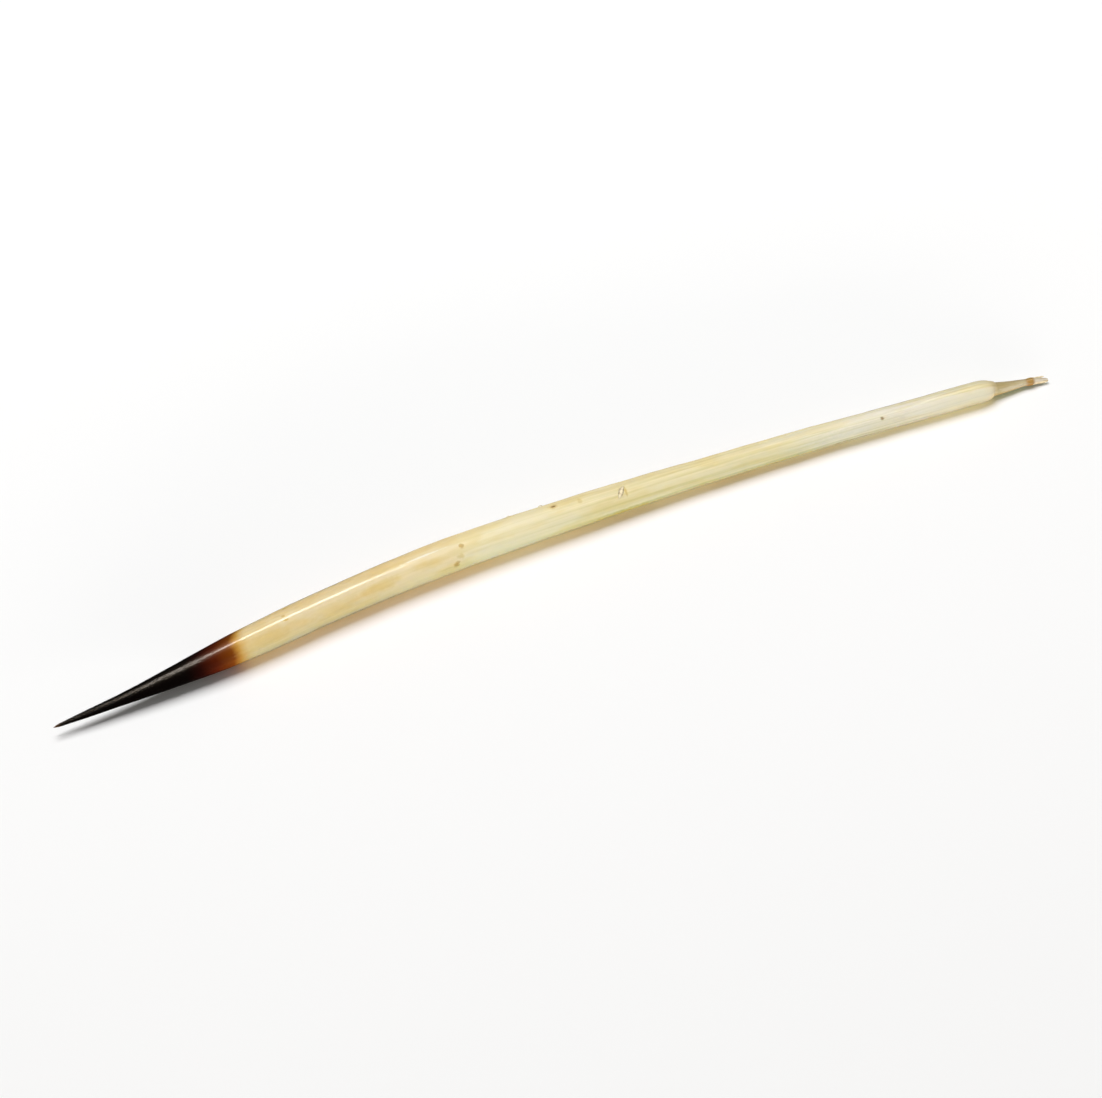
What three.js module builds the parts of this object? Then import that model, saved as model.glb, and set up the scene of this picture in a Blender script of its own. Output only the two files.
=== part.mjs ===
// A North American porcupine quill: one stiff hair, a foam-filled spear of keratin in a single piece.
// Units are millimetres, +Z is up. The quill lies on its belly with its tip towards -X and its root towards +X.
// The origin is below the middle of its bounding box, on the surface that it lies on.

import * as THREE from 'three';

// Along the straight quill: distances from the tip, before it is bent to the way it lies.
const LENGTH = 64;
const NEEDLE_END = 3.2; // the hair-fine needle stops here and the barbed spear begins
const SPEAR_END = 13.2; // the spear has reached the thickness of the shaft
const THICKEST = 25; // where the shaft is fattest
const SHOULDER_START = 59.2; // the shaft starts to round off into its root
const SHOULDER_END = 60.4; // the rounded end meets the neck
const COLLAR = 62.88; // the small hard ring where the quill sat in the skin

// Across the quill: radii.
const POINT_RADIUS = 0.08;
const NEEDLE_RADIUS = 0.28;
const SPEAR_RADIUS = 0.985;
const GREATEST_RADIUS = 1.045;
const ROOT_RADIUS = 0.7;
const NECK_RADIUS = 0.44;
const WAIST_RADIUS = 0.21;
const COLLAR_RADIUS = 0.25;
const STEM_RADIUS = 0.19;

// The way the quill lies: how far its axis bows to the side, and how high the axis is at its two ends.
// The shaft touches the surface all along, the tip rises clear of it, and the neck droops but doesn't touch.
const BOW = 2.26;
const TIP_HEIGHT = 0.66;
const NECK_HEIGHT = 0.42;
const STEM_HEIGHT = 0.24;
const BELLY_SINK = 0.03; // the belly is worn flat by this much, which gives it a face to rest on

// Facets.
const SIDES = 24;
const POINTS_PER_CURVE = 10;

// The outline of one side, as radius against distance from the tip. It starts and ends on the axis.
function quillOutline() {
  const outline = new THREE.Path();
  outline.moveTo(0, 0);
  outline.lineTo(POINT_RADIUS, 3 * POINT_RADIUS);

  // Needle and spear: the needle is a slender cone, and the spear swells from it with an S-shaped side.
  outline.quadraticCurveTo(0.7 * NEEDLE_RADIUS, 0.55 * NEEDLE_END, NEEDLE_RADIUS, NEEDLE_END);
  const spearLength = SPEAR_END - NEEDLE_END;
  outline.bezierCurveTo(
    1.85 * NEEDLE_RADIUS, NEEDLE_END + 0.4 * spearLength,
    0.945 * SPEAR_RADIUS, NEEDLE_END + 0.62 * spearLength,
    SPEAR_RADIUS, SPEAR_END,
  );

  // Shaft: fattest a third of the way along, then a long slow taper to the root.
  const swellLength = THICKEST - SPEAR_END;
  outline.bezierCurveTo(
    1.03 * SPEAR_RADIUS, SPEAR_END + 0.3 * swellLength,
    GREATEST_RADIUS, THICKEST - 0.4 * swellLength,
    GREATEST_RADIUS, THICKEST,
  );
  const taperLength = SHOULDER_START - THICKEST;
  outline.bezierCurveTo(
    GREATEST_RADIUS, THICKEST + 0.28 * taperLength,
    1.01 * ROOT_RADIUS, THICKEST + 0.4 * taperLength,
    ROOT_RADIUS, SHOULDER_START,
  );

  // Shoulder: the shaft closes like the end of a bean, round and quick.
  outline.bezierCurveTo(
    ROOT_RADIUS, SHOULDER_START + 0.75 * (SHOULDER_END - SHOULDER_START),
    1.25 * NECK_RADIUS, SHOULDER_END - 0.08,
    NECK_RADIUS, SHOULDER_END,
  );

  // Neck: a cone that narrows to a waist, then the collar stands out as a low ring.
  const collarHalfLength = 1.2 * COLLAR_RADIUS;
  outline.quadraticCurveTo(
    1.3 * WAIST_RADIUS, SHOULDER_END + 0.6 * (COLLAR - SHOULDER_END),
    WAIST_RADIUS, COLLAR - collarHalfLength,
  );
  outline.quadraticCurveTo(
    COLLAR_RADIUS + 0.05, COLLAR,
    STEM_RADIUS, COLLAR + collarHalfLength,
  );

  // Stem: a thin skin left from the follicle, drawn out to a point.
  outline.quadraticCurveTo(
    0.8 * STEM_RADIUS, 0.5 * (COLLAR + LENGTH),
    0.35 * STEM_RADIUS, LENGTH - 0.05,
  );
  outline.lineTo(0, LENGTH);
  return outline;
}

// How thick the quill is at a distance from the tip, read off the outline's points.
function radiusAt(distance, profile) {
  const next = profile.findIndex((point) => point.y >= distance);
  const [before, after] = [profile[Math.max(next - 1, 0)], profile[next]];
  const share = (distance - before.y) / Math.max(after.y - before.y, Number.EPSILON);
  return THREE.MathUtils.lerp(before.x, after.x, share);
}

// The axis as it lies. It is nearly straight over the spear, bends most where the shaft is fattest, and eases off
// towards the root, where the neck kinks down. Each station gives its place along the quill and its share of the bow.
function lyingAxis(profile) {
  const station = (along, bowShare, height) => new THREE.Vector3(along * LENGTH, bowShare * BOW, height);
  const resting = (along, bowShare) => {
    const height = radiusAt(along * LENGTH, profile) - BELLY_SINK;
    return station(along, bowShare, height);
  };
  return new THREE.CatmullRomCurve3([
    station(0, 0, TIP_HEIGHT),
    station(0.09, 0.12, 0.5 * (TIP_HEIGHT + SPEAR_RADIUS)),
    station(0.18, 0.385, 0.95 * SPEAR_RADIUS),
    resting(0.28, 0.74),
    resting(0.38, 0.965),
    resting(0.48, 0.995),
    resting(0.6, 0.945),
    resting(0.75, 0.76),
    resting(0.88, 0.475),
    resting(0.922, 0.385),
    station(0.955, 0.315, NECK_HEIGHT),
    station(0.98, 0.245, 0.5 * (NECK_HEIGHT + STEM_HEIGHT)),
    station(1, 0.14, STEM_HEIGHT),
  ]);
}

// The straight quill is turned about its axis, half a facet round so that one facet faces straight down.
function straightQuill(profile) {
  return new THREE.LatheGeometry(profile, SIDES, Math.PI / SIDES);
}

// Each ring of the straight quill is carried to its place on the lying axis, square to it.
function bend(geometry, axis) {
  const up = new THREE.Vector3(0, 0, 1);
  const place = geometry.attributes.position;
  const vertex = new THREE.Vector3();
  for (let i = 0; i < place.count; i += 1) {
    vertex.fromBufferAttribute(place, i);
    const along = THREE.MathUtils.clamp(vertex.y / LENGTH, 0, 1);
    const forward = axis.getTangentAt(along);
    const aside = new THREE.Vector3().crossVectors(forward, up).normalize();
    const raised = new THREE.Vector3().crossVectors(aside, forward);
    const bent = axis.getPointAt(along)
      .addScaledVector(aside, vertex.x)
      .addScaledVector(raised, vertex.z);
    // The belly is flat where the shaft lies on the surface.
    place.setXYZ(i, bent.x, bent.y, Math.max(bent.z, 0));
  }
}

// The origin goes below the middle of the box, without lifting the quill off the surface.
function centreOverOrigin(geometry) {
  geometry.computeBoundingBox();
  const middle = geometry.boundingBox.getCenter(new THREE.Vector3());
  geometry.translate(-middle.x, -middle.y, 0);
}

function makeQuill() {
  const profile = quillOutline().getPoints(POINTS_PER_CURVE);
  const geometry = straightQuill(profile);
  bend(geometry, lyingAxis(profile));
  centreOverOrigin(geometry);
  geometry.computeVertexNormals();
  const keratin = new THREE.MeshStandardMaterial({ color: 0xe3d3a6, roughness: 0.38, metalness: 0 });
  const quill = new THREE.Mesh(geometry, keratin);
  quill.name = 'quill';
  return quill;
}

const porcupineQuill = new THREE.Group();
porcupineQuill.name = 'porcupine_quill';
porcupineQuill.add(makeQuill());

export default porcupineQuill;
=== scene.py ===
# %% [markdown]
# # A porcupine quill
# A quill is a single hair that grew thick and stiff. A hard, glossy skin of keratin goes round a core of
# white foam. The root end is ivory, the middle is honey, and the tip runs through brown into black. The
# black tip is covered with tiny barbs that point back towards the root, which is why a quill goes in easily
# and comes out hard.
#
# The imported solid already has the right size, bow and girth. This lesson loads it, reads its line, and lays
# a much finer surface along the same line.

import math

import bpy
import numpy as np
from mathutils import Matrix, Vector


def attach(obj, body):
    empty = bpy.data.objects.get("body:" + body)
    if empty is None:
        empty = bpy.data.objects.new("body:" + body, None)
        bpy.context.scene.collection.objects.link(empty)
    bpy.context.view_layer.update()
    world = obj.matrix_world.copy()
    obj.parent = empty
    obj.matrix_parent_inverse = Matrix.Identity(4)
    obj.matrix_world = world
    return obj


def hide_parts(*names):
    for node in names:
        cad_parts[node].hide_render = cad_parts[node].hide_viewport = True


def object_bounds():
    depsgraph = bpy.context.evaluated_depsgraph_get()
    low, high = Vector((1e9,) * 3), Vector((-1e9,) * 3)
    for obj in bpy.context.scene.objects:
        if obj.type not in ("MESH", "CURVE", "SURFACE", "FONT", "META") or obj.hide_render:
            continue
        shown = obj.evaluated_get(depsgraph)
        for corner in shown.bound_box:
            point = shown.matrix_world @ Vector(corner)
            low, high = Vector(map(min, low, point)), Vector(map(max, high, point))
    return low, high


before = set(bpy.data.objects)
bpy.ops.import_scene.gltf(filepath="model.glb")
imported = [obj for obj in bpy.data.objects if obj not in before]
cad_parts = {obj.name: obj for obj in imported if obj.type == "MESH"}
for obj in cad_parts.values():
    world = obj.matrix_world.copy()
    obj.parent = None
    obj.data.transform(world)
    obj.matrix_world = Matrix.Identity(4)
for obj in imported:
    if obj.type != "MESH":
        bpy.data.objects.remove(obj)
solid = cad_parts["quill"]
solid_box = [list(corner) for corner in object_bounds()]
MM = 0.001
print("solid, in mm:", [round((high - low) / MM, 2) for low, high in zip(*solid_box)])

# %% [markdown]
# ## The line of the quill
# The fine surface has to follow the solid, and there are two ways to make sure of that. The sizes could be
# typed in again, but then two files have to agree. Instead the solid is cut across at many places, like a
# carrot, and each cut gives the middle of the quill and its half-thickness there. Whatever the solid's line
# is, this finds it.

# %% Cut the solid across
corners = np.array([vertex.co for vertex in solid.data.vertices])
edge_ends = corners[np.array([edge.vertices[:] for edge in solid.data.edges])]


def cut_across(x):
    """Where the plane at x meets the solid: the lowest and highest y and z of the cut."""
    start, end = edge_ends[:, 0], edge_ends[:, 1]
    crossing = (start[:, 0] - x) * (end[:, 0] - x) < 0
    start, end = start[crossing], end[crossing]
    share = (x - start[:, 0]) / (end[:, 0] - start[:, 0])
    cut = start + (end - start) * share[:, None]
    return cut[:, 1:].min(axis=0), cut[:, 1:].max(axis=0)


TIP_X, ROOT_X = solid_box[0][0], solid_box[1][0]
CUT_STEP = 0.04 * MM
cut_x = np.arange(TIP_X + 0.5 * CUT_STEP, ROOT_X, CUT_STEP)
cuts = np.array([cut_across(x) for x in cut_x])
cut_low, cut_high = cuts[:, 0], cuts[:, 1]
half_thickness = (cut_high[:, 0] - cut_low[:, 0]) / 2
middle_y = (cut_high[:, 0] + cut_low[:, 0]) / 2
middle_z = cut_high[:, 1] - half_thickness
print(len(cut_x), "cuts, thickest", round(2 * half_thickness.max() / MM, 2), "mm across")

# %% [markdown]
# The solid has facets, so the cuts change direction where one facet meets the next. A running average takes
# those kinks out. Its width has to change along the quill: wide over the long even shaft, and narrow where
# the real shape turns quickly, at the needle point and at the root.

# %% Smooth the cuts
LENGTH = (ROOT_X - TIP_X) / MM
SHOULDER = 59.5  # where the shaft starts to round off into the neck, in mm from the tip
TIP_WIDTH, TIP_GROWTH = 0.08, 0.16  # mm at the point, and mm more for each mm from it
ROOT_WIDTH, ROOT_GROWTH = 0.07, 0.35  # the same at the shoulder
SHAFT_WIDTH = 1.8  # mm
from_tip = (cut_x - TIP_X) / MM


def averaging_width(place):
    """Half the width of the running average at a place along the quill, in mm."""
    near_tip = TIP_WIDTH + TIP_GROWTH * place
    near_root = ROOT_WIDTH + ROOT_GROWTH * np.maximum(SHOULDER - place, 0)
    return np.minimum(np.minimum(near_tip, near_root), SHAFT_WIDTH)


def smooth(values):
    """The running average of a row of values, by the difference of its running total."""
    total = np.concatenate([[0], np.cumsum(values)]) * CUT_STEP / MM
    marks = np.concatenate([[0], from_tip + 0.5 * CUT_STEP / MM])
    reach = np.minimum(averaging_width(from_tip), np.minimum(from_tip, marks[-1] - from_tip))
    upper = np.interp(from_tip + reach, marks, total)
    lower = np.interp(from_tip - reach, marks, total)
    return (upper - lower) / (2 * reach)


half_thickness = smooth(smooth(half_thickness))
middle_y = smooth(smooth(middle_y))
middle_z = smooth(smooth(middle_z))
slope_y = np.gradient(middle_y, cut_x)
slope_z = np.gradient(middle_z, cut_x)
girth = half_thickness / np.sqrt(1 + slope_y**2)
print("the line rises from", round(middle_z[0] / MM, 2), "to", round(middle_z.max() / MM, 2), "mm")

# %% [markdown]
# From now on every point of the skin is named by two numbers: how far it is from the tip, and the angle
# round the quill. One function turns them into a point in space. A number for the lift goes outwards from
# the skin.

# %% Find a point of the skin
def girth_at(place):
    """The radius in mm at a distance in mm from the tip."""
    return np.interp(place, from_tip, girth / MM)


def point_on_quill(place, around, lift=0.0):
    """The point of the skin at a distance from the tip and an angle from the top, raised by lift.

    Distances are in mm and angles in radians. The angle grows towards -Y, the side that the camera sees.
    """
    x = np.asarray(place) * MM + TIP_X
    y = np.interp(place, from_tip, middle_y)
    z = np.interp(place, from_tip, middle_z)
    turn = np.arctan(np.interp(place, from_tip, slope_y))
    tilt = np.arctan(np.interp(place, from_tip, slope_z))
    radius = (girth_at(place) + lift) * MM
    side, top = -np.sin(around) * radius, np.cos(around) * radius
    return np.stack(
        [x - side * np.sin(turn) - top * np.sin(tilt), y + side * np.cos(turn), z + top * np.cos(tilt)],
        axis=-1,
    )


for place in (2, 10, 25, 50, 62):
    print("radius at", place, "mm:", round(float(girth_at(place)), 3), "mm")

# %% [markdown]
# ## The shaft
# A quill isn't a perfect round rod. It dried, so its skin has a few broad, very shallow flutes along it,
# and its girth wavers a little. These show as streaks in the long highlight. A noise texture would give
# bumps in all directions, so the flutes are made from waves round the quill that drift slowly as they go
# along.

# %% Shape the skin
FLUTE_WAVES = (3, 5, 8, 13)  # how many flutes go round
FLUTE_DEPTHS = (0.008, 0.007, 0.005, 0.0025)  # mm
FLUTE_DRIFTS = (0.05, -0.035, 0.06, -0.09)  # radians for each mm along
SWELL_LENGTHS = (11.0, 4.7, 2.1)  # mm
SWELL_DEPTHS = (0.009, 0.006, 0.003)  # mm
FLUTES_GROW_FROM, FLUTES_GROW_OVER = 10, 26  # mm from the tip, mm
FLUTES_END, FLUTES_FADE_OVER = SHOULDER + 0.6, 2  # mm from the tip, mm
SPEAR_FLUTES = 0.15  # their depth on the spear, as a share of the full depth
POINT_SMOOTH = 8  # mm from the tip, where they fade in from nothing
SWELLS_GROW_OVER, SWELLS_FADE_OVER = 12, 4  # mm
SWELL_LEAN = 0.8  # radians, how much the swells differ from side to side


def flutes(place, around):
    """The shallow flutes, which fade out towards the smooth spear and the neck."""
    strength = np.clip((place - FLUTES_GROW_FROM) / FLUTES_GROW_OVER, SPEAR_FLUTES, 1)
    strength = strength * np.clip((FLUTES_END - place) / FLUTES_FADE_OVER, 0, 1)
    strength = strength * np.clip(place / POINT_SMOOTH, 0, 1)
    waves = sum(
        depth * np.cos(count * around + drift * place * count + count)
        for count, depth, drift in zip(FLUTE_WAVES, FLUTE_DEPTHS, FLUTE_DRIFTS)
    )
    return strength * waves


def swells(place, around):
    """The slow waver of the girth, a little different on each side."""
    strength = np.clip(place / SWELLS_GROW_OVER, 0, 1)
    strength = strength * np.clip((SHOULDER - place) / SWELLS_FADE_OVER, 0, 1)
    waves = sum(
        depth * np.sin(2 * math.pi * place / length + SWELL_LEAN * np.cos(around + length))
        for length, depth in zip(SWELL_LENGTHS, SWELL_DEPTHS)
    )
    return strength * waves


def skin_point(place, around, lift=0.0):
    """A point of the finished skin. The belly stays flat where it lies on the surface."""
    point = point_on_quill(place, around, flutes(place, around) + swells(place, around) + lift)
    point[..., 2] = np.maximum(point[..., 2], 0)
    return point


print("flutes and swells:", len(FLUTE_WAVES) + len(SWELL_LENGTHS), "waves")

# %% [markdown]
# Blender keeps a shape as a mesh: a list of points, and a list of faces that say which points they join.
# Three helpers do this work for every piece of the quill. The first makes an object from the two lists, the
# second joins rings of points into a closed tube, and the third keeps a number with each point for the
# material to read.

# %% Help to make meshes
def add_mesh(name, points, faces, smooth_faces=True):
    """A new mesh object from points in metres and lists of corners."""
    mesh = bpy.data.meshes.new(name)
    mesh.from_pydata([tuple(point) for point in points], [], faces)
    mesh.update()
    if smooth_faces:
        mesh.shade_smooth()
    piece = bpy.data.objects.new(name, mesh)
    bpy.context.scene.collection.objects.link(piece)
    return piece


def tube_faces(rings, sides):
    """Quads between neighbouring rings, and a fan of triangles to the one point beyond each end."""
    faces = []
    for ring in range(rings - 1):
        for side in range(sides):
            here, beside = ring * sides + side, ring * sides + (side + 1) % sides
            faces.append((here, beside, beside + sides, here + sides))
    first_point, last_point = rings * sides, rings * sides + 1
    last_ring = (rings - 1) * sides
    for side in range(sides):
        beside = (side + 1) % sides
        faces.append((first_point, beside, side))
        faces.append((last_point, last_ring + side, last_ring + beside))
    return faces


def store(piece, name, values):
    """Keeps one number for each point of the mesh, for the material to read."""
    attribute = piece.data.attributes.new(name, "FLOAT", "POINT")
    attribute.data.foreach_set("value", np.asarray(values, np.float32).ravel())


print("a small tube, 3 rings of 4:", len(tube_faces(3, 4)), "faces")

# %% [markdown]
# The skin is a tube of many rings. They lie closer together where the shape is small: at the needle point,
# and over the shoulder, the neck and the stem. A function gives the step from one ring to the next.

# %% Weave the skin
SKIN_SIDES = 72
NEEDLE_END, ROOT_START = 3, SHOULDER - 1.5  # mm from the tip
NEEDLE_STEP, SHAFT_STEP, ROOT_STEP = 0.03, 0.085, 0.022  # mm
END_GIRTH = 0.01  # mm, kept with the one point at each end


def ring_step(place):
    """The distance in mm to the next ring."""
    if place < NEEDLE_END:
        return NEEDLE_STEP
    if place > ROOT_START:
        return ROOT_STEP
    return SHAFT_STEP


def ring_places(start, end):
    """Where the rings are, in mm from the tip."""
    places = [start]
    while places[-1] < end:
        places.append(places[-1] + ring_step(places[-1]))
    return np.array(places[:-1])


places = ring_places(from_tip[0], from_tip[-1])
angles = np.arange(SKIN_SIDES) * 2 * math.pi / SKIN_SIDES
place_grid, angle_grid = np.meshgrid(places, angles, indexing="ij")
skin_grid = skin_point(place_grid, angle_grid).reshape(-1, 3)
end_places = [places[0], places[-1]]
end_points = np.array([skin_point(place, 0.0, -girth_at(place)) for place in end_places])
end_points[0, 0], end_points[1, 0] = TIP_X, ROOT_X
quill = add_mesh("quill_skin", np.vstack([skin_grid, end_points]), tube_faces(len(places), SKIN_SIDES))
store(quill, "along", np.concatenate([place_grid.ravel(), end_places]))
store(quill, "top_share", np.concatenate([np.cos(angle_grid).ravel(), [0, 0]]))
store(quill, "side_share", np.concatenate([np.sin(angle_grid).ravel(), [0, 0]]))
store(quill, "girth", np.concatenate([girth_at(place_grid).ravel(), [END_GIRTH, END_GIRTH]]))
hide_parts("quill")
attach(quill, "root")
print("skin:", len(quill.data.polygons), "faces")

# %% [markdown]
# ## The barbs
# Barbs are flat scales with a free point, lying one over the next like roof tiles, each about a fifth of a
# millimetre long. They could be a bump texture, but then the edge of the tip would stay smooth against the
# light. Here each barb is a small closed wedge of five points: a front, two sides, a raised point that
# faces back towards the root, and one point under it.

# %% Shape a barb
BARBS_START, BARBS_END = 0.3, 7.5  # mm from the tip
BARB_ROW_STEP = 0.115  # mm
BARB_WIDTH = 0.085  # mm
BARB_LENGTH = 0.21  # mm
BARB_ROOT = -0.006  # mm, so that the lower points lie just under the skin
BARB_WIDEST, BARB_UNDERSIDE = 0.45, 0.8  # shares of its length
BARB_SIZES = ([BARBS_START, 1.8, 5.5, BARBS_END], [0.5, 1.0, 1.0, 0.35])  # mm from the tip, shares
BARB_LIFTS = ([BARBS_START, 2.0, 4.0, BARBS_END], [0.02, 0.026, 0.01, 0.003])  # mm from the tip, mm
LIFT_CHANCE = (0.7, 1.2)  # least and most, as a share
BARB_SEED = 11
chance = np.random.default_rng(BARB_SEED)


def barb_size(place):
    """Barbs are small at the point, full-sized on the needle and the front spear, and smaller behind."""
    return np.interp(place, *BARB_SIZES)


def barb_lift(place):
    """How far the point of a barb stands off the skin, in mm: less and less towards the shaft."""
    return np.interp(place, *BARB_LIFTS)


def barb(place, around, size):
    """The five points of one barb, and its six faces."""
    half_width = 0.5 * BARB_WIDTH * size / girth_at(place)
    length = BARB_LENGTH * size
    lift = barb_lift(place) * chance.uniform(*LIFT_CHANCE)
    shape = np.array([
        [0, 0, BARB_ROOT],
        [BARB_WIDEST * length, -half_width, BARB_ROOT],
        [BARB_WIDEST * length, half_width, BARB_ROOT],
        [length, 0, lift],
        [BARB_UNDERSIDE * length, 0, BARB_ROOT],
    ])
    points = skin_point(place + shape[:, 0], around + shape[:, 1], shape[:, 2])
    faces = [(0, 1, 3), (0, 3, 2), (1, 4, 3), (2, 3, 4), (0, 4, 1), (0, 2, 4)]
    return points, faces


print("a barb at 2 mm stands", round(float(barb_lift(2.0)), 3), "mm off the skin")

# %% [markdown]
# The barbs lie in rows round the tip. Every second row is shifted by half a barb, as with tiles. Real rows
# aren't perfect, so chance moves each barb a little and changes its size, and further back it leaves more
# and more out.

# %% Lay the barbs
BARB_SPACING = 1.25  # barb widths
FEWEST_IN_ROW = 4
SPARSE_FROM, SPARSE_OVER = 3.5, 5  # mm from the tip, mm
SHIFT_AROUND = 0.15  # the most by chance, in spacings
SHIFT_ALONG = 0.03  # the most by chance, in mm
SIZE_CHANCE = (0.8, 1.15)  # least and most, as a share

barb_points, barb_faces = [], []
for row, place in enumerate(np.arange(BARBS_START, BARBS_END, BARB_ROW_STEP)):
    size = barb_size(place)
    in_row = max(FEWEST_IN_ROW, int(2 * math.pi * girth_at(place) / (BARB_SPACING * BARB_WIDTH * size)))
    for number in range(in_row):
        if place > SPARSE_FROM and chance.random() < (place - SPARSE_FROM) / SPARSE_OVER:
            continue
        turn = number + 0.5 * (row % 2) + chance.uniform(-SHIFT_AROUND, SHIFT_AROUND)
        around = 2 * math.pi * turn / in_row
        start = place + chance.uniform(-SHIFT_ALONG, SHIFT_ALONG)
        points, faces = barb(start, around, size * chance.uniform(*SIZE_CHANCE))
        barb_faces += [tuple(corner + 5 * len(barb_points) for corner in face) for face in faces]
        barb_points.append(points)
barb_corners = np.vstack(barb_points)
barbs = add_mesh("tip_barbs", barb_corners, barb_faces, smooth_faces=False)
store(barbs, "along", (barb_corners[:, 0] - TIP_X) / MM)
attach(barbs, "root")
print("barbs:", len(barb_points))

# %% [markdown]
# ## The loose bits
# An old quill is never perfectly clean. A strip of skin has peeled up and curled, two small flakes stand on
# its far edge, and the skin of the stem is torn into two prongs. Painted light and dark marks would look
# flat from the side, so each bit is a real ribbon: a line of stations, each with a left and right edge and
# a thin middle.

# %% Shape a ribbon
RIBBON_STATIONS = 14


def ribbon(line, sides, ups, widths, thickness):
    """Points and faces of a closed ribbon along a line, with unit directions to its side and up."""
    half = 0.5 * widths[:, None]
    rim = 0.5 * thickness
    corners_of_station = [line - sides * half, line + ups * rim, line + sides * half, line - ups * rim]
    points = np.stack(corners_of_station, axis=1)
    faces = []
    for station in range(len(line) - 1):
        for corner in range(4):
            here, beside = 4 * station + corner, 4 * station + (corner + 1) % 4
            faces.append((here, beside, beside + 4, here + 4))
    last = 4 * (len(line) - 1)
    faces.append((3, 2, 1, 0))
    faces.append((last, last + 1, last + 2, last + 3))
    return points.reshape(-1, 3), faces


def unit(vectors):
    """The same directions, each one long."""
    return vectors / np.linalg.norm(vectors, axis=-1, keepdims=True)


def join(parts):
    """Several lists of points and faces as one."""
    points, faces = [], []
    for part_points, part_faces in parts:
        start = sum(len(some) for some in points)
        faces += [tuple(start + corner for corner in face) for face in part_faces]
        points.append(part_points)
    return np.vstack(points), faces


print("a ribbon has", RIBBON_STATIONS, "stations of 4 points")

# %% [markdown]
# The strip of skin is the largest of the loose bits, and it lies across the quill. The flakes are on the
# far side, where they break the clean edge. Each one starts and ends a little below the skin, so that it
# looks rooted in it.

# %% Lay the loose bits
STRIP_THICKNESS = 0.035  # mm
STRIP_ROOT = 0.01  # mm, how far the ends go below the skin
STRIP_END, STRIP_TAPER = 0.25, 1.15  # the width at the ends as a share, and how early it narrows
ARCH_SHARPNESS = 1.5
LOOK_OUT = 0.1  # mm, the step that finds which way is outwards
# place in mm, angle round and heading in degrees, length, width and rise in mm
STRIPS = [
    (36.35, 22, -52, 0.95, 0.34, 0.1),
    (29.5, -44, 20, 0.26, 0.2, 0.045),
    (31.55, -45, -15, 0.32, 0.24, 0.07),
]


def peeled_strip(place, around, heading, length, width, rise):
    """A strip of skin with both ends on the quill and its middle arched off it. In mm and radians."""
    share = np.linspace(0, 1, RIBBON_STATIONS)
    forward = place + (share - 0.5) * length * math.cos(heading)
    aside = around + (share - 0.5) * length * math.sin(heading) / girth_at(place)
    lift = rise * np.sin(math.pi * share) ** ARCH_SHARPNESS - STRIP_ROOT
    line = skin_point(forward, aside, lift)
    ups = unit(skin_point(forward, aside, lift + LOOK_OUT) - line)
    sides = unit(np.cross(ups, np.gradient(line, axis=0)))
    ups = np.cross(unit(np.gradient(line, axis=0)), sides)
    bulge = np.sin(math.pi * np.clip(STRIP_TAPER * share, 0, 1))
    widths = width * MM * (STRIP_END + (1 - STRIP_END) * bulge)
    return ribbon(line, sides, ups, widths, STRIP_THICKNESS * MM)


peeled = join([
    peeled_strip(place, math.radians(around), math.radians(heading), length, width, rise)
    for place, around, heading, length, width, rise in STRIPS
])
flakes = add_mesh("peeled_skin", *peeled)
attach(flakes, "root")
print("loose bits:", len(flakes.data.polygons), "faces")

# %% [markdown]
# When a quill comes out of the animal, a little dry skin tears off with it and stays on the stem. Here that
# is two ribbons. They start behind the collar and twist as they leave the stem, so that one of them shows
# its flat side.

# %% Tear the stem
COLLAR = 62.9  # mm from the tip
PRONG_START = COLLAR + 0.1  # mm from the tip
PRONG_ROOT, PRONG_THICKNESS = 0.02, 0.06  # mm, how far it starts below the skin, and mm
PRONG_CURVE, PRONG_TAPER = 1.6, 0.7
PRONG_LOOK_OUT = 1.0  # mm, the step that finds which way is outwards
# first angle in degrees, place of the end in mm, its angle, its lift and the width in mm, twist in degrees
PRONGS = [
    (-35, 63.75, -48, 0.12, 0.2, 70),
    (120, 63.98, 112, 0.08, 0.24, -60),
]


def prong(start_around, end_place, end_around, end_lift, width, twist):
    """A torn strip of the stem's skin, from just behind the collar to a twisted free end off the stem."""
    share = np.linspace(0, 1, RIBBON_STATIONS)
    forward = PRONG_START + share * (end_place - PRONG_START)
    aside = start_around + share * (end_around - start_around)
    line = point_on_quill(forward, aside, end_lift * share**PRONG_CURVE - PRONG_ROOT)
    ups = unit(point_on_quill(forward, aside, PRONG_LOOK_OUT) - line)
    sides = unit(np.cross(ups, np.gradient(line, axis=0)))
    turned = (twist * share)[:, None]
    twisted_sides = sides * np.cos(turned) + ups * np.sin(turned)
    twisted_ups = ups * np.cos(turned) - sides * np.sin(turned)
    widths = width * MM * (1 - PRONG_TAPER * share**3)
    return ribbon(line, twisted_sides, twisted_ups, widths, PRONG_THICKNESS * MM)


prongs = join([
    prong(math.radians(start), end_place, math.radians(end), lift, width, math.radians(twist))
    for start, end_place, end, lift, width, twist in PRONGS
])
stem_prongs = add_mesh("stem_prongs", *prongs)
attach(stem_prongs, "root")
print("stem prongs:", len(stem_prongs.data.polygons), "faces")

# %% [markdown]
# ## The finish of the skin
# One material goes over the whole skin, because the colour has no edge anywhere. It reads how far along the
# quill each point is and takes its colour from a ramp. A material is a tree of nodes, and wiring a tree by
# hand is a lot of writing. Six short helpers do the common jobs: add a node, do a sum, read a number that
# was kept with the mesh, take a number from one range to another, turn a number into a colour, and mix two
# colours.

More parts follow.
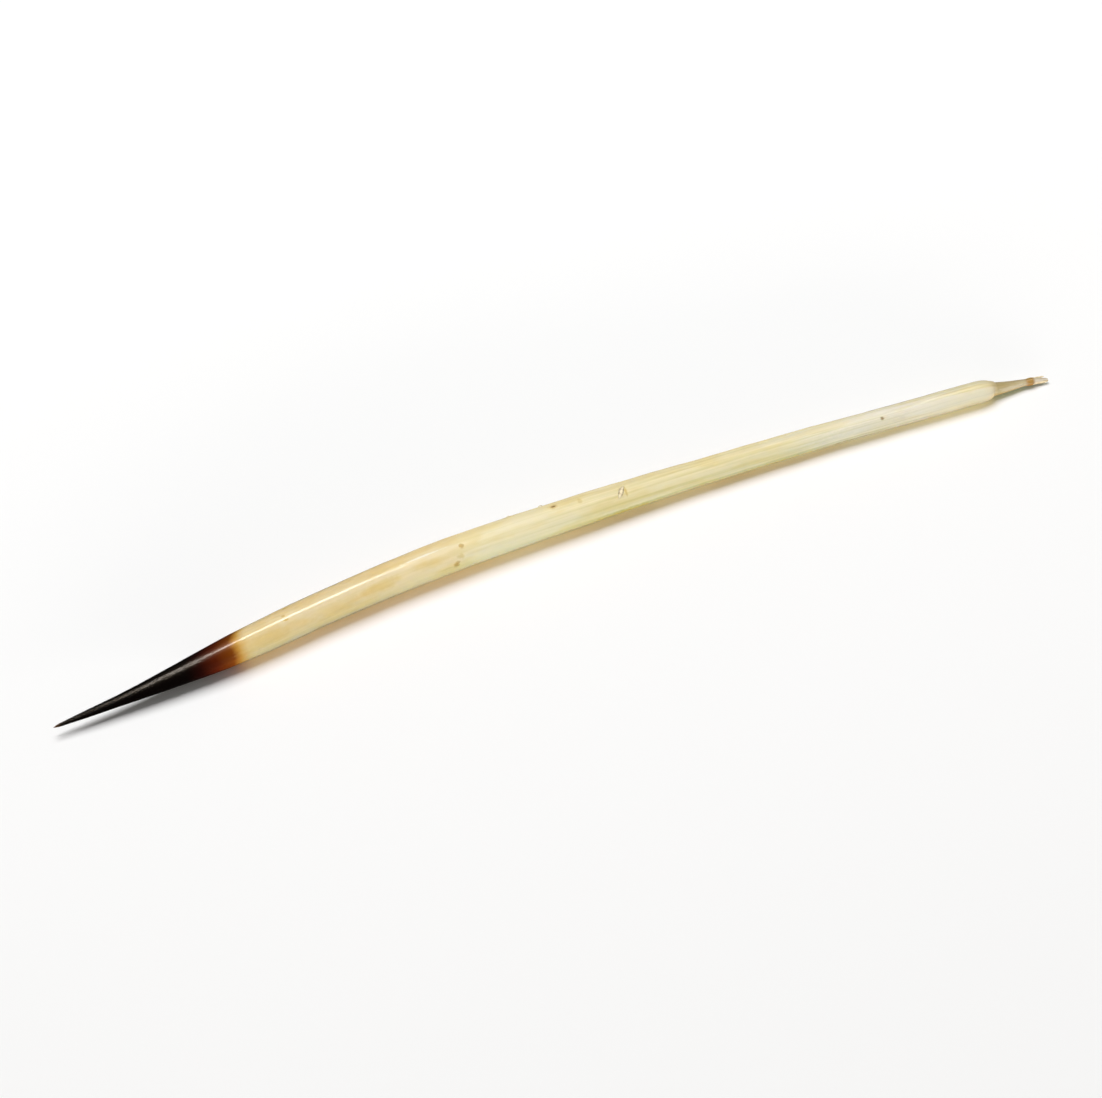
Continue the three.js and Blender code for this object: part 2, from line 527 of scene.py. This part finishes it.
# %% Help to join nodes
def add_node(tree, kind, inputs=(), **settings):
    """A node with its settings. Each input, by name, is a number, a colour or another node's socket."""
    node = tree.nodes.new(kind)
    for name, value in settings.items():
        setattr(node, name, value)
    for name, value in dict(inputs).items():
        if isinstance(value, bpy.types.NodeSocket):
            tree.links.new(value, node.inputs[name])
        else:
            node.inputs[name].default_value = value
    return node


def sums(tree, operation, first, second=0.0, third=0.0):
    """One arithmetic node."""
    inputs = {0: first, 1: second, 2: third}
    return add_node(tree, "ShaderNodeMath", inputs, operation=operation).outputs[0]


def read(tree, name):
    """What store() kept, as a number."""
    return add_node(tree, "ShaderNodeAttribute", attribute_name=name).outputs["Fac"]


def spread(tree, value, low, high, new_low=0.0, new_high=1.0, kind="SMOOTHSTEP"):
    """A number taken from one range to another, held at both ends."""
    inputs = {"Value": value, "From Min": low, "From Max": high, "To Min": new_low, "To Max": new_high}
    return add_node(tree, "ShaderNodeMapRange", inputs, interpolation_type=kind).outputs[0]


def ramp(tree, value, stops, kind="LINEAR"):
    """Colours along a line. Each stop is a place from 0 to 1 and a colour."""
    node = add_node(tree, "ShaderNodeValToRGB", {"Fac": value})
    node.color_ramp.interpolation = kind
    elements = node.color_ramp.elements
    while len(elements) < len(stops):
        elements.new(1.0)
    for element, (place, _) in zip(elements, stops):
        element.position = place
    for element, (_, colour) in zip(elements, stops):
        element.color = colour
    return node.outputs["Color"]


def blend_colours(tree, share, first, second, kind="MIX"):
    """Two colours mixed by a share from 0 to 1."""
    node = tree.nodes.new("ShaderNodeMix")
    node.data_type = "RGBA"
    node.blend_type = kind
    for name, value in (("Factor_Float", share), ("A_Color", first), ("B_Color", second)):
        socket = next(socket for socket in node.inputs if socket.identifier == name)
        if isinstance(value, bpy.types.NodeSocket):
            tree.links.new(value, socket)
        else:
            socket.default_value = value
    return next(socket for socket in node.outputs if socket.identifier == "Result_Color")


print("a math node can do", len(bpy.types.ShaderNodeMath.bl_rna.properties["operation"].enum_items), "sums")

# %% [markdown]
# Colours are easier to change when they have names. Each is red, green, blue and opacity, from 0 to 1, in
# linear light. Most are the colours of the keratin alone. What is seen is paler, because of the foam and
# the shine. The last five are tints: the colour below is multiplied by them. The first two of these are
# painted shade, which darkens the top and back, and painted light, which brightens the lower side.

# %% Name the colours
BLACK = (0.0015, 0.0007, 0.0006, 1)
POINT_AMBER = (0.16, 0.07, 0.02, 1)
RED_BLACK = (0.014, 0.0008, 0.0003, 1)
RED_BROWN = (0.075, 0.009, 0.0005, 1)
ORANGE_BROWN = (0.17, 0.042, 0.001, 1)
AMBER = (0.4, 0.19, 0.035, 1)
HONEY = (0.67, 0.425, 0.275, 1)
PALE_HONEY = (0.69, 0.465, 0.3, 1)
GROWTH_RING = (0.72, 0.515, 0.335, 1)
CREAM = (0.725, 0.53, 0.345, 1)
IVORY = (0.66, 0.47, 0.28, 1)
ROOT_IVORY = (0.76, 0.64, 0.49, 1)
END_WHITE = (0.76, 0.625, 0.4, 1)
NECK_OLIVE = (0.38, 0.295, 0.15, 1)
COLLAR_AMBER = (0.3, 0.12, 0.012, 1)
STEM_WHITE = (0.62, 0.54, 0.43, 1)
# painted shade: darkens and browns the top and back of the quill
PAINTED_SHADE_TINT = (0.85, 0.81, 0.76, 1)
# painted light: brightens the lower side, standing in for the light that crosses the foam
PAINTED_LIGHT_TINT = (1.34, 1.24, 1.02, 1)
BLOTCH_TINT = (0.88, 0.74, 0.52, 1)
STREAK_TINT = (0.76, 0.74, 0.6, 1)
FIBRE_TINT = (0.84, 0.8, 0.7, 1)
print("the honey part is", HONEY[:3])

# %% [markdown]
# The keratin grew lengthwise, so its streaks are long and thin. Ordinary noise is as long as it is wide.
# Here it is read at a place that is squeezed along the quill and stretched round it. The place is made from
# the sine and cosine of the angle, and not from the angle itself, which jumps where the circle closes and
# would leave a seam.

# %% Read the skin
keratin = bpy.data.materials.new("keratin")
keratin.use_nodes = True
tree = keratin.node_tree
tree.nodes.clear()
along = read(tree, "along")
top_share = read(tree, "top_share")
side_share = read(tree, "side_share")
skin_girth = read(tree, "girth")
NOISE_ROUGHNESS = 0.55


def skin_noise(along_scale, around_scale, detail, shift=0.0):
    """Noise on the skin that has its own size along the quill and round it, with no seam."""
    place = add_node(tree, "ShaderNodeCombineXYZ", {
        0: sums(tree, "MULTIPLY_ADD", along, along_scale, shift),
        1: sums(tree, "MULTIPLY", top_share, around_scale),
        2: sums(tree, "MULTIPLY", side_share, around_scale),
    })
    inputs = {"Vector": place.outputs[0], "Scale": 1.0, "Detail": detail, "Roughness": NOISE_ROUGHNESS}
    return add_node(tree, "ShaderNodeTexNoise", inputs).outputs["Fac"]


def change(start, end, before, after):
    """A number that goes from one value to another between two places, in mm from the tip."""
    return spread(tree, along, start, end, before, after)


blotches = skin_noise(0.25, 0.9, 3.0)
streaks = skin_noise(0.06, 3.2, 3.0, shift=11.0)
fibres = skin_noise(0.12, 9.0, 4.0, shift=7.0)
fine_fibres = skin_noise(0.5, 32.0, 2.0, shift=3.0)
ragged = sums(tree, "SUBTRACT", skin_noise(0.8, 1.6, 4.0, shift=20.0), 0.5)
print("nodes so far:", len(tree.nodes))

# %% [markdown]
# The black doesn't stop at the same place all round. On the far side of the quill, away from the camera, it
# reaches a little further, and its edge is ragged. So the place that goes into the ramp is first moved a
# little, by the angle and by noise.

# %% Colour along the quill
DARK_REACH = -0.45  # mm
RAGGED_BY = 0.35  # mm
FAR_STARTS, FAR_FULL = 0.3, -0.6  # of the sine of the angle
far_side = spread(tree, side_share, FAR_STARTS, FAR_FULL)
ragged_place = sums(tree, "MULTIPLY_ADD", ragged, RAGGED_BY, along)
coloured_place = sums(tree, "MULTIPLY_ADD", far_side, DARK_REACH, ragged_place)
share_along = sums(tree, "DIVIDE", coloured_place, LENGTH)


def ramp_along(stops):
    """The colour along the quill. Each stop is a place in mm from the tip and a colour."""
    return ramp(tree, share_along, [(place / LENGTH, colour) for place, colour in stops])


skin_colour = ramp_along([
    (0.0, POINT_AMBER),
    (0.35, BLACK),
    (8.2, BLACK),
    (9.0, RED_BLACK),
    (10.0, RED_BROWN),
    (11.0, ORANGE_BROWN),
    (11.45, AMBER),
    (12.1, HONEY),
    (19.0, HONEY),
    (25.3, PALE_HONEY),
    (26.2, GROWTH_RING),
    (28.0, CREAM),
    (44.0, IVORY),
    (54.0, ROOT_IVORY),
    (58.5, END_WHITE),
    (60.2, END_WHITE),
    (60.6, NECK_OLIVE),
])
print("nodes so far:", len(tree.nodes))

# %% [markdown]
# The neck is too short to share a ramp with the shaft, so it has one of its own, with the amber collar in
# it. Then three kinds of noise tint the result: soft blotches, olive streaks towards the root, and fine
# fibres. Last come painted shade and painted light: the back and top are darkened and browned as painted
# shade, and the lower side is brightened as painted light, standing in for the light that crosses the foam
# and comes out there. How low a point lies comes from the same sine and cosine of its angle as the noise
# does.

# %% Tint the keratin
NECK_START, NECK_BLEND = 60.6, 0.05  # mm from the tip, mm
neck_colour = ramp(tree, spread(tree, along, NECK_START, LENGTH, kind="LINEAR"), [
    (0.0, NECK_OLIVE),
    (0.55, NECK_OLIVE),
    (0.62, COLLAR_AMBER),
    (0.7, COLLAR_AMBER),
    (0.77, STEM_WHITE),
], kind="EASE")
neck_share = spread(tree, along, NECK_START - NECK_BLEND, NECK_START + NECK_BLEND)
whole_colour = blend_colours(tree, neck_share, skin_colour, neck_colour)
MOST_BLOTCH, MOST_STREAK, MOST_FIBRE = 0.5, 0.75, 0.16  # how much of each tint goes in
CLOUD_EDGE, CLOUD_CORE = 0.42, 0.62  # of the noise
FIBRE_EDGE, FIBRE_CORE = 0.4, 0.75  # of the noise
blotch_share = spread(tree, blotches, CLOUD_EDGE, CLOUD_CORE, 0.0, MOST_BLOTCH)
mottled = blend_colours(tree, blotch_share, whole_colour, BLOTCH_TINT, "MULTIPLY")
streak_share = spread(tree, streaks, CLOUD_EDGE, CLOUD_CORE, 0.0, MOST_STREAK)
streak_share = sums(tree, "MULTIPLY", streak_share, change(24.0, 44.0, 0.3, 1.0))
streaked = blend_colours(tree, streak_share, mottled, STREAK_TINT, "MULTIPLY")
fibre_share = spread(tree, fibres, FIBRE_EDGE, FIBRE_CORE, 0.0, MOST_FIBRE)
fibrous = blend_colours(tree, fibre_share, streaked, FIBRE_TINT, "MULTIPLY")
LOW_BY_SIDE, LOW_BY_TOP = 0.72, -0.69  # how much facing the front and facing up count
lowness = sums(tree, "MULTIPLY_ADD", side_share, LOW_BY_SIDE, sums(tree, "MULTIPLY", top_share, LOW_BY_TOP))
# where the painted shade on the top and back and the painted light on the lower side start and are full
BACK_STARTS, BACK_FULL, BELLY_STARTS, BELLY_FULL = -0.4, -0.95, 0.3, 0.95  # of the lowness
painted_shade_share = spread(tree, lowness, BACK_STARTS, BACK_FULL)
painted_light_share = spread(tree, lowness, BELLY_STARTS, BELLY_FULL)
# painted shade: the top and back made darker and browner
painted_shade_back = blend_colours(tree, painted_shade_share, fibrous, PAINTED_SHADE_TINT, "MULTIPLY")
# painted light: the lower side made brighter
painted_light_belly = blend_colours(tree, painted_light_share, painted_shade_back, PAINTED_LIGHT_TINT, "MULTIPLY")
print("with the tints:", len(tree.nodes), "nodes")

# %% [markdown]
# ## The marks
# The skin gets a few marks: soft amber patches, two broad olive patches on the root half, specks where the
# skin was nicked, and amber bands and a thin brown line along the belly. Three of them are painted light
# and shade: a pale streak along the top near 24 mm and a pale streak on the neck are painted highlights, and
# the amber band under the belly near 46 mm is painted shadow, the warm shadow under the quill. Each is one
# small oval on the unrolled skin: how far along it is, the angle from the top, and its two half-sizes. Noise
# wobbles the edge, so that no mark looks printed.

# %% Paint the marks
DARK_BROWN = (0.07, 0.03, 0.01, 1)
MARK_BROWN = (0.25, 0.12, 0.03, 1)
MARK_AMBER = (0.4, 0.2, 0.045, 1)
# an amber band along the belly, and also painted shadow under the belly near 46 mm
AMBER_BAND_AND_PAINTED_SHADOW = (0.62, 0.34, 0.07, 1)
PATCH_AMBER = (0.52, 0.29, 0.11, 1)
PATCH_OLIVE = (0.5, 0.42, 0.27, 1)
# painted highlight: a pale streak for the line of light along the top
PAINTED_HIGHLIGHT_WHITE = (0.95, 0.9, 0.76, 1)
# painted highlight on the lower side of the neck
NECK_PAINTED_HIGHLIGHT = (0.66, 0.56, 0.38, 1)
# place in mm, angle in degrees, half-length and half-width in mm, strength, colour
MARKS = [
    (13.0, 62, 1.3, 0.32, 0.35, PATCH_AMBER),
    (17.6, 58, 1.7, 0.28, 0.3, PATCH_AMBER),
    (20.7, 52, 1.1, 0.26, 0.4, PATCH_AMBER),
    (24.2, 50, 1.0, 0.22, 0.2, PATCH_AMBER),
    (46.5, 48, 3.6, 0.24, 0.3, PATCH_OLIVE),
    (51.5, 55, 2.8, 0.22, 0.3, PATCH_OLIVE),
    (15.1, -22, 0.24, 0.055, 0.8, MARK_AMBER),
    (14.62, 10, 0.1, 0.07, 0.65, MARK_AMBER),
    (14.68, 26, 0.12, 0.06, 0.6, MARK_AMBER),
    (26.05, 27, 0.12, 0.14, 0.65, MARK_BROWN),
    (25.8, 60, 0.2, 0.14, 0.4, MARK_AMBER),
    (25.42, 84, 0.18, 0.12, 0.75, MARK_BROWN),
    (25.55, 76, 0.12, 0.1, 0.5, MARK_BROWN),
    (24.8, 86, 0.5, 0.06, 0.25, MARK_AMBER),
    (32.15, -4, 0.26, 0.16, 0.45, MARK_AMBER),
    (32.15, -4, 0.15, 0.06, 0.9, DARK_BROWN),
    (33.75, 8, 0.12, 0.16, 0.35, MARK_AMBER),
    (36.6, 26, 0.07, 0.3, 0.6, MARK_AMBER),
    (36.4, 120, 2.2, 0.28, 0.8, AMBER_BAND_AND_PAINTED_SHADOW),
    # painted shadow: the warm shadow under the quill, painted on its lower side
    (45.6, 122, 3.0, 0.16, 0.5, AMBER_BAND_AND_PAINTED_SHADOW),
    (51.2, 116, 1.5, 0.05, 0.75, MARK_BROWN),
    (53.1, 42, 0.11, 0.11, 0.85, DARK_BROWN),
    (57.9, 8, 1.2, 0.05, 0.3, MARK_AMBER),
    # painted highlight along the top, where the line of light fades
    (23.6, 14, 1.1, 0.05, 0.3, PAINTED_HIGHLIGHT_WHITE),
    # painted highlight along the lower side of the neck
    (61.6, 72, 0.9, 0.12, 0.55, NECK_PAINTED_HIGHLIGHT),
]
mark_wobble = sums(tree, "SUBTRACT", skin_noise(3.0, 5.0, 3.0, shift=40.0), 0.5)
MARK_EDGE, MARK_CORE = 1.6, 0.5  # where a mark starts and is full, in half-sizes from its middle
MARK_WOBBLE = 1.8  # half-sizes
# the marks go on top of the painted shade and the painted light
marked = painted_light_belly
for place, degrees, half_length, half_width, strength, colour in MARKS:
    sine, cosine = math.sin(math.radians(degrees)), math.cos(math.radians(degrees))
    aside = sums(tree, "MULTIPLY_ADD", side_share, cosine, sums(tree, "MULTIPLY", top_share, -sine))
    facing = sums(tree, "MULTIPLY_ADD", side_share, sine, sums(tree, "MULTIPLY", top_share, cosine))
    offset = add_node(tree, "ShaderNodeCombineXYZ", {
        0: sums(tree, "DIVIDE", sums(tree, "SUBTRACT", along, place), half_length),
        1: sums(tree, "DIVIDE", sums(tree, "MULTIPLY", aside, skin_girth), half_width),
    })
    distance = add_node(tree, "ShaderNodeVectorMath", {0: offset.outputs[0]}, operation="LENGTH")
    uneven = sums(tree, "MULTIPLY_ADD", mark_wobble, MARK_WOBBLE, distance.outputs["Value"])
    oval = spread(tree, uneven, MARK_EDGE, MARK_CORE, 0.0, strength)
    inside = sums(tree, "MULTIPLY", oval, sums(tree, "GREATER_THAN", facing, 0))
    marked = blend_colours(tree, inside, marked, colour)
print(len(MARKS), "marks")

# %% [markdown]
# ## The shine and the glow
# The skin is like a rough rod under a thin coat of varnish. The varnish gives the sharp line of light. It
# wears thin past the honey part and on the barbed needle, so there it gets less weight. Inside the skin is
# white foam, so light goes in, scatters far and comes out all round. That is why the side away from the
# lamp is hardly darker. The foam ends where the brown starts, and it is thinner towards the root.

# %% Vary the shine and the foam
FOAM_START = 10.8  # mm from the tip
FIBRE_ROUGHNESS = 0.06
rod_roughness = spread(tree, coloured_place, FOAM_START, 11.8, 0.3, 0.5)
body_roughness = sums(tree, "MULTIPLY_ADD", fibres, FIBRE_ROUGHNESS, rod_roughness)
# each change has its two places in mm from the tip, and the value before and after
varnish = change(4.0, 7.0, 0.12, 0.5)
honey_gain = (9.5, 12.2, 0.0, 0.5)
middle_loss = (18.0, 26.0, 0.0, -0.85)
root_gain = (47.0, 56.0, 0.0, 0.35)
for more_or_less in (honey_gain, middle_loss, root_gain):
    varnish = sums(tree, "ADD", varnish, change(*more_or_less))
foam_glow = spread(tree, coloured_place, FOAM_START, 12.1)
root_thinning = (47.0, 58.0, 1.0, 0.72)
neck_thinning = (59.6, 60.6, 1.0, 0.4)
for thinner in (root_thinning, neck_thinning):
    foam_glow = sums(tree, "MULTIPLY", foam_glow, change(*thinner))
print("with the shine and the foam:", len(tree.nodes), "nodes")

# %% [markdown]
# The fibres and the fine scales of the tip are too small to model one by one, so they go into a bump node,
# which leans the surface a little without moving it. Then the shader takes all the inputs. The skin's own
# shine is slightly amber, like the keratin.

# %% Mix the keratin
SKIN_RELIEF = 0.006 * MM
FINE_FIBRES = 0.35  # their height against the wider fibres
FOAM_REACH = 24.0 * MM
scales = sums(tree, "MULTIPLY", skin_noise(5.0, 7.0, 3.0, shift=60.0), change(9.0, 11.5, 5.0, 0.0))
height = sums(tree, "ADD", scales, sums(tree, "MULTIPLY_ADD", fine_fibres, FINE_FIBRES, fibres))
relief = {"Strength": change(9.0, 11.0, 0.7, 0.35), "Distance": SKIN_RELIEF, "Height": height}
bump = add_node(tree, "ShaderNodeBump", relief)
shader = add_node(tree, "ShaderNodeBsdfPrincipled", {
    "Base Color": marked,
    "Roughness": body_roughness,
    "Normal": bump.outputs[0],
    "IOR": 1.5,
    "Specular IOR Level": 0.5,
    "Specular Tint": (1.0, 0.8, 0.6, 1),
    "Coat Weight": varnish,
    "Coat Roughness": 0.13,
    "Coat Normal": bump.outputs[0],
    "Subsurface Weight": foam_glow,
    "Subsurface Anisotropy": 0.6,
    "Subsurface Radius": (0.85, 0.7, 0.44),
    "Subsurface Scale": FOAM_REACH,
})
print("the foam spreads light over", round(FOAM_REACH / MM), "mm")

# %% [markdown]
# Some light goes on through the foam to the table and makes the shadow warm. To do that, the skin lets a
# tinted part of the light through, but only for the rays that ask whether a lamp can be seen.

# %% Let light through
GLOW_THROUGH = 0.36
glow_colour = ramp_along([
    (0.0, BLACK),
    (10.2, BLACK),
    (11.3, (0.45, 0.22, 0.06, 1)),
    (12.1, (0.56, 0.76, 0.32, 1)),
    (20.0, (0.52, 0.76, 0.36, 1)),
    (30.0, (0.46, 0.82, 0.48, 1)),
    (50.0, (0.50, 0.78, 0.50, 1)),
])
let_through = add_node(tree, "ShaderNodeBsdfTransparent", {"Color": glow_colour})
lamp_ray = add_node(tree, "ShaderNodeLightPath").outputs["Is Shadow Ray"]
glow = add_node(tree, "ShaderNodeMixShader", {0: sums(tree, "MULTIPLY", lamp_ray, GLOW_THROUGH)})
tree.links.new(shader.outputs[0], glow.inputs[1])
tree.links.new(let_through.outputs[0], glow.inputs[2])
add_node(tree, "ShaderNodeOutputMaterial", {"Surface": glow.outputs[0]})
quill.data.materials.append(keratin)
print("the keratin has", len(tree.nodes), "nodes")

# %% [markdown]
# The barbs are the same keratin as the tip, only thinner. They are black, apart from the very first ones,
# where light shines through the point and turns it amber. They get glossier where they lie flat.

# %% Blacken the barbs
barb_black = bpy.data.materials.new("barb_black")
barb_black.use_nodes = True
barb_tree = barb_black.node_tree
barb_shader = barb_tree.nodes["Principled BSDF"]
barb_place = read(barb_tree, "along")
barb_colour = blend_colours(barb_tree, spread(barb_tree, barb_place, 0.25, 0.5), POINT_AMBER, BLACK)
barb_tree.links.new(barb_colour, barb_shader.inputs["Base Color"])
barb_tree.links.new(spread(barb_tree, barb_place, 3.0, 6.0, 0.45, 0.2), barb_shader.inputs["Roughness"])
barb_shader.inputs["Specular IOR Level"].default_value = 0.35
barbs.data.materials.append(barb_black)
print(barbs.name, "is", barb_black.name)

# %% [markdown]
# Dry skin has no varnish and no foam, so a plain rough surface is enough. A small cloudy noise mixes tan
# and off-white.

# %% Finish the loose bits
DRY_TAN = (0.6, 0.47, 0.28, 1)
DRY_WHITE = (0.84, 0.74, 0.52, 1)
dry_skin = bpy.data.materials.new("dry_skin")
dry_skin.use_nodes = True
dry_tree = dry_skin.node_tree
dry_shader = dry_tree.nodes["Principled BSDF"]
where = add_node(dry_tree, "ShaderNodeTexCoord").outputs["Object"]
cloudy = add_node(dry_tree, "ShaderNodeTexNoise", {"Vector": where, "Scale": 6.0 / MM}).outputs["Fac"]
dry_colour = blend_colours(dry_tree, spread(dry_tree, cloudy, 0.35, 0.65), DRY_TAN, DRY_WHITE)
dry_tree.links.new(dry_colour, dry_shader.inputs["Base Color"])
dry_shader.inputs["Roughness"].default_value = 0.6
dry_shader.inputs["Specular IOR Level"].default_value = 0.2
for piece in (flakes, stem_prongs):
    piece.data.materials.append(dry_skin)
    print(piece.name, "is", dry_skin.name)

# %% [markdown]
# ## The table and the light
# The quill lies on a plain white table. The table has no texture, so the eye stays on the quill. It is
# hidden from the shine, because a white table mirrored in black keratin would turn it grey.

# %% Lay the table
TABLE_HALF_WIDTH = 1.5  # metres
table = add_mesh(
    "table",
    [(x, y, 0.0) for x, y in ((-1, -1), (1, -1), (1, 1), (-1, 1))],
    [(0, 1, 2, 3)],
)
table.data.transform(Matrix.Scale(TABLE_HALF_WIDTH, 4))
table.visible_glossy = False
paper = bpy.data.materials.new("white_paper")
paper.use_nodes = True
paper_shader = paper.node_tree.nodes["Principled BSDF"]
paper_shader.inputs["Base Color"].default_value = (0.9, 0.9, 0.9, 1)
paper_shader.inputs["Roughness"].default_value = 0.9
paper_shader.inputs["Specular IOR Level"].default_value = 0.1
table.data.materials.append(paper)
print("table:", 2 * TABLE_HALF_WIDTH, "m wide")

# %% [markdown]
# One soft studio lamp is done here with three lights, so that each can be set on its own. The key light
# hangs above and behind and gives the soft shadow. The shine light is a long narrow strip that lights
# nothing and is only mirrored: it draws the line of light along the quill. The fill light is low in front
# and warms the lower side.

# %% Hang the lights
def hang_light(name, place, size, watts, target=(0, 0, 0)):
    """A rectangular light that faces the target. Its first side lies along X. Sizes in metres."""
    lamp = bpy.data.lights.new(name, "AREA")
    lamp.shape = "RECTANGLE"
    lamp.size, lamp.size_y = size
    lamp.energy = watts
    light = bpy.data.objects.new(name, lamp)
    light.location = place
    back = (Vector(place) - Vector(target)).normalized()
    upright = back.cross(Vector((1, 0, 0))).normalized()
    light.rotation_euler = Matrix((upright.cross(back), upright, back)).transposed().to_euler()
    bpy.context.scene.collection.objects.link(light)
    return light


key = hang_light("key_light", (0.03, 0.19, 0.46), (0.34, 0.34), 2.8)
key.visible_glossy = False
shine = hang_light("shine_light", (0.02, 0.032, 0.48), (0.6, 0.08), 1.9)
shine.visible_diffuse = False
fill = hang_light("fill_light", (-0.1, -0.48, 0.03), (0.6, 0.05), 2.4)
fill.data.color = (1.0, 0.95, 0.86)
fill.visible_glossy = False
print("lights:", [light.name for light in (key, shine, fill)])

# %% [markdown]
# The sky is nearly black where it is mirrored, so that the black of the tip stays black. Everywhere else it
# is a pale even light that keeps the shadows open.

# %% Light the sky
SKY_STRENGTH = 0.14
SKY_IN_GLOSS = 0.015
sky = bpy.data.worlds.new("pale_sky")
sky.use_nodes = True
sky_tree = sky.node_tree
background = sky_tree.nodes["Background"]
mirrored = add_node(sky_tree, "ShaderNodeLightPath").outputs["Is Glossy Ray"]
sky_strength = sums(sky_tree, "MULTIPLY_ADD", mirrored, SKY_IN_GLOSS - SKY_STRENGTH, SKY_STRENGTH)
background.inputs["Color"].default_value = (1, 0.99, 0.97, 1)
sky_tree.links.new(sky_strength, background.inputs["Strength"])
bpy.context.scene.world = sky
bpy.context.scene.view_settings.view_transform = "Standard"
print("sky strength:", SKY_STRENGTH, "and", SKY_IN_GLOSS, "where it is mirrored")

# %% [markdown]
# ## The camera
# The camera looks down at the quill from the front, a little to the left, with a long lens.

# %% Set the camera
CAMERA_PLACE = Vector((-48.4, -150.4, 159.0)) * MM
CAMERA_TARGET = Vector((-0.9, -1.2, 0.6)) * MM
CAMERA_ROLL = math.radians(-6.6)
SENSOR_WIDTH = 36.0
LENS = 123.0

lens = bpy.data.cameras.new("camera")
lens.sensor_width = SENSOR_WIDTH
lens.lens = LENS
lens.clip_start, lens.clip_end = 0.005, 10.0
camera = bpy.data.objects.new("camera", lens)
camera.location = CAMERA_PLACE
aim = (CAMERA_TARGET - CAMERA_PLACE).to_track_quat("-Z", "Y").to_matrix()
camera.rotation_euler = (aim @ Matrix.Rotation(CAMERA_ROLL, 3, "Z")).to_euler()
bpy.context.scene.collection.objects.link(camera)
bpy.context.scene.camera = camera
print("camera:", round((CAMERA_TARGET - CAMERA_PLACE).length / MM), "mm from the quill, lens", LENS, "mm")
